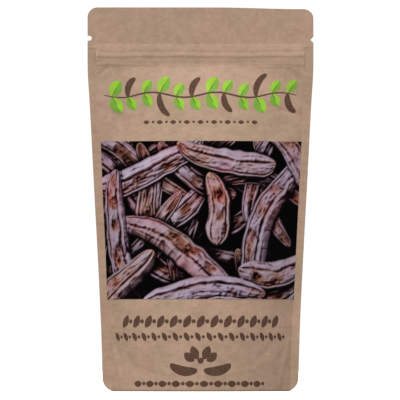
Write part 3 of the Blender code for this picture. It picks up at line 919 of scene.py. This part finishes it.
def labelFaces(rows, columns, backRows):
    # the front grid, the back grid turned over, the rims along the foot and the top, and down the sides fans
    # of triangles, where each edge of the back meets four of the front
    front = np.arange(rows * columns).reshape(rows, columns)
    back = rows * columns + np.arange(backRows * columns).reshape(backRows, columns)
    groups = [gridFaces(front), gridFaces(back)[:, turnOver]]
    for many, few in ((front[0], back[0]), (front[-1, ::-1], back[-1, ::-1])):
        groups.append(gridFaces(np.stack([many, few], axis=1)))
    for many, few in ((front[:, -1], back[:, -1]), (front[::-1, 0], back[::-1, 0])):
        start, end = few[:-1], few[1:]
        a, b, c, d, e = many[:-1:4], many[1::4], many[2::4], many[3::4], many[4::4]
        for fan in ((a, start, b), (b, start, c), (c, end, d), (d, end, e), (c, start, end)):
            groups.append(np.stack(fan, axis=-1))
    return groups


def addLabel(material):
    share = np.linspace(0.0, 1.0, label["columns"])[None, :]
    up = np.linspace(0.0, 1.0, label["rows"])[:, None]
    left, right = [label[side][0] * (1 - up) + label[side][1] * up for side in ("left", "right")]
    u = left * (1 - share) + right * share
    z = label["bottom"] * (1 - up) + label["top"] * up + 0 * u
    foot, step = paper["sheet"] + paper["gap"], label["backStep"]
    front = paperPoint(u, z, "front", foot + label["thickness"])
    back = paperPoint(u[::step], z[::step], "front", foot)
    colour = np.ones((*u.shape, 4))
    colour[..., :3] = paintPicture(*u.shape)
    points = np.concatenate([front.reshape(-1, 3), back.reshape(-1, 3)])
    colour = {"picture": np.concatenate([colour.reshape(-1, 4), colour[::step].reshape(-1, 4)])}
    groups = labelFaces(*u.shape, back.shape[0])
    addPiece("picture_label", points, groups, material, ("front_label",), colour)
    print("label:", *u.shape)


# Zip: two tapes that lie flat against each other and bow apart round a rib and the groove that holds it. The
# upper halves of their outlines are (stand, height) in millimetres, and the lower halves mirror them.
tapeRows = {"outer": 46, "inner": 18}
zipOutlines = {
    "groove": (-1, [(0.00, 0.95), (0.46, 0.92), (0.60, 0.80), (0.80, 0.54), (0.62, 0.50), (0.52, 0.62),
                    (0.20, 0.66), (0.06, 0.50)]),
    "rib": (1, [(0.00, 0.30), (0.34, 0.28), (0.40, 0.46), (0.58, 0.46), (0.78, 0.20)]),
}


def addZip(material):
    # each outline is the tape's outer side, then its inner side with the rib or groove, carried across the
    # pouch; both flatten out at the ends, where the zip is crushed into the side seals
    low, middle, end = paper["zipFoot"], zipTape["ribHeight"], zipTape["halfLength"]
    high, flat = low + paper["zipHeight"], tapeRows["inner"]
    x = np.linspace(-end, end, zipTape["columns"])[:, None]
    full = fall(np.abs(x), end - 0.005, end - 0.001)
    for name, (side, outline) in zipOutlines.items():
        outline = np.array(outline) / 1000
        outline = np.concatenate([outline, outline[::-1] * (1, -1)])
        reach = outline[0, 1] + 0.0001
        outer = np.linspace(low, high, tapeRows["outer"])
        above, below = np.linspace(high, middle + reach, flat), np.linspace(middle - reach, low, flat)
        inner = np.concatenate([above, middle + outline[:, 1], below])
        height = np.concatenate([outer, inner])[None, :]
        stand = np.concatenate([0 * outer, 0 * above, outline[:, 0], 0 * below])[None, :]
        half = np.concatenate([0 * outer + 1, 0 * inner - 1])[None, :] * zipTape["halfSheet"]
        bow = zipTape["rest"] + zipTape["bow"] * bump(height, middle, zipTape["bowWidth"]) * full
        y = side * (bow + half - stand * full) + headerWave(x, height)
        points = np.stack([x + 0 * y, y, height + 0 * y], axis=-1)
        faces = tubeFaces(*y.shape)[:, ::side]
        closeAndTurn(addPiece(f"zip_{name}_tape", points, [faces], material, (f"zip_{name}",)))
    print("zip: two tapes")


# Pods inside the pouch: flat bowed straps with thick rims, a groove inside each rim, wrinkles, and swellings
# over the seeds. Sizes in metres, and the parts of the profile as shares of the half thickness.
pod = {
    "rings": 130,
    "sides": 48,
    "halfWidth": 0.0104,
    "halfThickness": 0.0068,
    "bow": 0.004,
    "blunt": 4.0,
    "middle": 0.60,
    "rim": 0.36,
    "groove": 0.20,
    "seeds": 11,
    "swelling": 0.13,
    "lumps": 0.12,
    "wrinkles": 0.07,
    "clear": 0.0022,  # from the panels
}


def roomAt(x, z):
    # distance from the middle plane to a panel, at a place x across it: depth * (1 - (x / span)^power)
    depth = halfDepth(z)
    span = readTable(tableX, depth, halfOpen + 0 * depth)
    return np.maximum(depth * (1 - np.minimum(np.abs(x) / span, 1.0) ** paper["sectionPower"]), 0.004)


def addPods(material):
    # share runs from foot to top, angle round the pod: x = half width * fullness * cos, bowed by
    # 1 - (2 share - 1)^2, and y = half thickness * profile * sin^0.7; then fitted to the box of its solid
    share = np.linspace(0.0, 1.0, pod["rings"])[:, None]
    angle = np.linspace(0.0, 2 * np.pi, pod["sides"], endpoint=False)[None, :]
    across, face = np.cos(angle), np.sin(angle)
    out = np.abs(across)
    flat = pod["middle"] + pod["rim"] * bump(out, 0.84, 0.17) - pod["groove"] * bump(out, 0.56, 0.12)
    field = pod["swelling"] * fall(out, 0.35, 0.60)
    names = sorted(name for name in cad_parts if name.startswith("pod_"))
    for number, name in enumerate(names, start=1):
        lowCorner, highCorner = np.array(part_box(name))
        along = share if number % 3 else 1 - share
        fullness = (1 - np.abs(2 * share - 1) ** pod["blunt"]) ** 0.50
        fullness = fullness * (1 - 0.22 * rise(along, 0.45, 1.0))
        edge = softNoise(share * 13 + number, 9.0 + np.sign(across) * rise(out, 0.0, 0.5), number)
        lumps = softNoise(share * 15 + number, face * 1.5 + across * 3 + 7, number + 20)
        wrinkles = softNoise(share * 34 + number + across * 2, face * 2 + across * 7 + 15, number + 40)
        profile = flat + field * np.cos(2 * np.pi * pod["seeds"] * share + number)
        profile = profile + pod["lumps"] * lumps + pod["wrinkles"] * (1 - 2.0 * np.abs(wrinkles))
        x = pod["halfWidth"] * fullness * across * (1.0 + 0.06 * edge)
        x = x + pod["bow"] * (1 - (2 * share - 1) ** 2)
        y = pod["halfThickness"] * fullness * profile * np.sign(face) * np.abs(face) ** 0.7
        points = np.stack([x, y, share + 0 * x], axis=-1)
        least, most = points.min(axis=(0, 1)), points.max(axis=(0, 1))
        points = lowCorner + (points - least) / (most - least) * (highCorner - lowCorner)
        room = roomAt(points[..., 0], points[..., 2]) - pod["clear"]
        points[..., 1] = np.clip(points[..., 1], -room, room)
        closeAndTurn(addPiece(f"carob_{name}", points, [tubeFaces(*x.shape)], material, (name,)))
    print("pods:", len(names))


# Printed ornament: a leafy branch with pods over the picture, and rows of leaves, seeds and pods under it. In
# millimetres on the flat front panel, and degrees from the horizontal.
branch = {"height": 209.5, "half": 69.0, "wave": 1.8, "waveLength": 46.0, "stem": 0.6, "pitch": 11.5,
          "lean": 60.0, "leaf": 13.0, "leafHalf": 4.4, "podLength": 19.0, "podHalf": 2.3}
crest = {"height": 20.6, "podLength": 21.0, "podHalf": 3.3, "leaf": 10.2, "leafHalf": 3.0, "dot": 2.1}
borders = [  # height, half the row's width, pitch, a leaf's length, half width and lean, a seed's radius
    (190.2, 39.0, 4.9, 4.4, 1.35, 0.0, 0.90),
    (49.3, 57.6, 4.8, 9.8, 2.50, 62.0, 1.45),
    (38.4, 66.0, 4.0, 6.8, 1.75, 118.0, 1.10),
    (5.6, 47.5, 5.0, 6.6, 2.2, 0.0, 1.30),
]
inkLift = {"foot": 0.00001, "under": 0.00005, "over": 0.00009}


def stroke(path, halfWidth, across=5):
    # a band along a path, (points, 2): path + half width * side * level normal, side from -1 to 1
    heading = np.gradient(path, axis=0)
    heading = heading / np.linalg.norm(heading, axis=1, keepdims=True)
    normal = np.stack([-heading[:, 1], heading[:, 0]], axis=1)
    side = np.linspace(-1.0, 1.0, across)[None, :, None]
    return path[:, None, :] + side * (halfWidth[:, None, None] * normal[:, None, :])


def arcPath(start, lean, length, bend, count):
    # points along a circle of the given bend, in degrees over its length, or a straight line
    share = np.linspace(0.0, 1.0, count)
    heading = np.radians(lean) + np.radians(bend) * (share - 0.5)
    steps = np.stack([np.cos(heading), np.sin(heading)], axis=1) * length / (count - 1)
    middle = (steps[1:] + steps[:-1]) / 2
    return np.array(start) + np.concatenate([[[0.0, 0.0]], np.cumsum(middle, axis=0)])


def leafStroke(start, lean, length, halfWidth, bend=0.0, blunt=0.72, count=15):
    # half width * sin(pi share)^blunt along an arc
    share = np.linspace(0.0, 1.0, count)
    return stroke(arcPath(start, lean, length, bend, count), halfWidth * np.sin(np.pi * share) ** blunt)


def dotStroke(middle, radius, count=11):
    # a disc: half width sqrt(r^2 - s^2)
    turn = np.linspace(0.0, np.pi, count)
    path = np.stack([middle[0] - radius * np.cos(turn), middle[1] + 0 * turn], axis=1)
    return stroke(path, radius * np.sin(turn))


def addInk(name, strokes, material, lift):
    # each stroke becomes a thin closed patch on the front panel
    pieces, faces, start = [], [], 0
    for one in strokes:
        u, z = one[..., 0] / 1000, one[..., 1] / 1000
        layers = [paperPoint(u, z, "front", paper["sheet"] + height) for height in (lift, inkLift["foot"])]
        pieces.append(np.stack(layers).reshape(-1, 3))
        faces.append(sheetFaces(*u.shape, start))
        start += 2 * u.size
    closeAndTurn(addPiece(name, np.concatenate(pieces), faces, material))
    print(name, len(strokes), "strokes")


def branchStrokes():
    # a stem at height + wave * sin(2 pi x / wave length), with leaflets in pairs, one half of each in either
    # green; at every other pair a pod hangs in place of one leaflet
    brown, green, leaf = [], [], []
    x = np.linspace(-branch["half"], branch["half"], 160)
    height = branch["height"] + branch["wave"] * np.sin(2 * np.pi * x / branch["waveLength"])
    taper = 1 - 0.6 * np.abs(x / branch["half"]) ** 3
    brown.append(stroke(np.stack([x, height], axis=1), branch["stem"] * taper, 3))
    for number, at in enumerate(np.arange(-branch["half"] + 5.5, branch["half"] - 3.0, branch["pitch"])):
        size = 0.88 + 0.12 * np.cos(number * 2.1)
        foot = np.interp(at, x, height)
        podSide = 0 if number % 2 == 0 else (-1) ** (number // 2)
        for way in (-1, 1):
            lean, root = way * branch["lean"], (at, foot + way * 0.15)
            if way == podSide:
                pods = (branch["podLength"] * size, branch["podHalf"], -way * 75.0, 0.40, 25)
                brown.append(leafStroke(root, lean + way * 6.0, *pods))
                continue
            long = branch["leaf"] * size
            body = leafStroke(root, lean, long, branch["leafHalf"] * size, -way * 16.0)
            leaf.append(body[:, :3])
            green.append(body[:, 2:])
            brown.append(leafStroke(root, lean, long * 0.55, 0.22, -way * 9.0, 0.4, 9))
    return brown, green, leaf


def rowStrokes(height, half, pitch, length, halfWidth, lean, dot):
    # leaves that lean, and a seed between each two
    made = []
    reach = np.array([np.cos(np.radians(lean)), np.sin(np.radians(lean))]) * length / 2
    for number, at in enumerate(np.linspace(-half, half, int(round(2 * half / pitch)) + 1)):
        if number % 2 == 0:
            made.append(leafStroke(np.array([at, height]) - reach, lean, length, halfWidth, 18.0))
        else:
            made.append(dotStroke((at, height), dot))
    return made


def crestStrokes():
    # a seed between two pods that curve up round it, with leaves over them
    made, height = [dotStroke((0.0, crest["height"] + 1.0), crest["dot"])], crest["height"]
    for way in (-1, 1):
        lean = 90.0 - way * 78.0
        foot = (way * 2.2, height - 5.4)
        made.append(leafStroke(foot, lean, crest["podLength"], crest["podHalf"], way * 64.0, 0.42, 25))
        for step, tilt in enumerate((66.0, 40.0)):
            foot = (way * (1.8 + 2.6 * step), height + 2.0 - 1.2 * step)
            leaf = (crest["leaf"] * (1 - 0.12 * step), crest["leafHalf"], way * 16.0)
            made.append(leafStroke(foot, 90.0 - way * (90.0 - tilt), *leaf))
    return made


def addOrnament():
    brown, green, leaf = branchStrokes()
    for border in borders:
        brown += rowStrokes(*border)
    brown += crestStrokes()
    for tone, strokes, lift in (("green", green, "under"), ("leaf", leaf, "under"), ("brown", brown, "over")):
        paint = functools.partial(inkColour, tone)
        ink = makeMaterial(f"{tone}Ink", paint, (0.60, 0.80), 0.12, 1100.0, 0.22)
        addInk(f"ornament_{tone}", strokes, ink, inkLift[lift])


addStage()
# each material: its colour, least and most roughness, shine, scale of the grain, strength of the bump
kraft = makeMaterial("kraftPaper", kraftColour, (0.72, 0.90), 0.35, 1100.0, 0.28)
addPanels(kraft)
addGusset(kraft)
addLabel(makeMaterial("labelPrint", printColour, (0.45, 0.60), 0.02, 800.0, 0.12))
addOrnament()
addZip(makeMaterial("zipFilm", filmColour, (0.24, 0.42), 0.5, 1500.0, 0.10))
addPods(makeMaterial("podSkin", skinColour, (0.38, 0.60), 0.5, 900.0, 0.30))
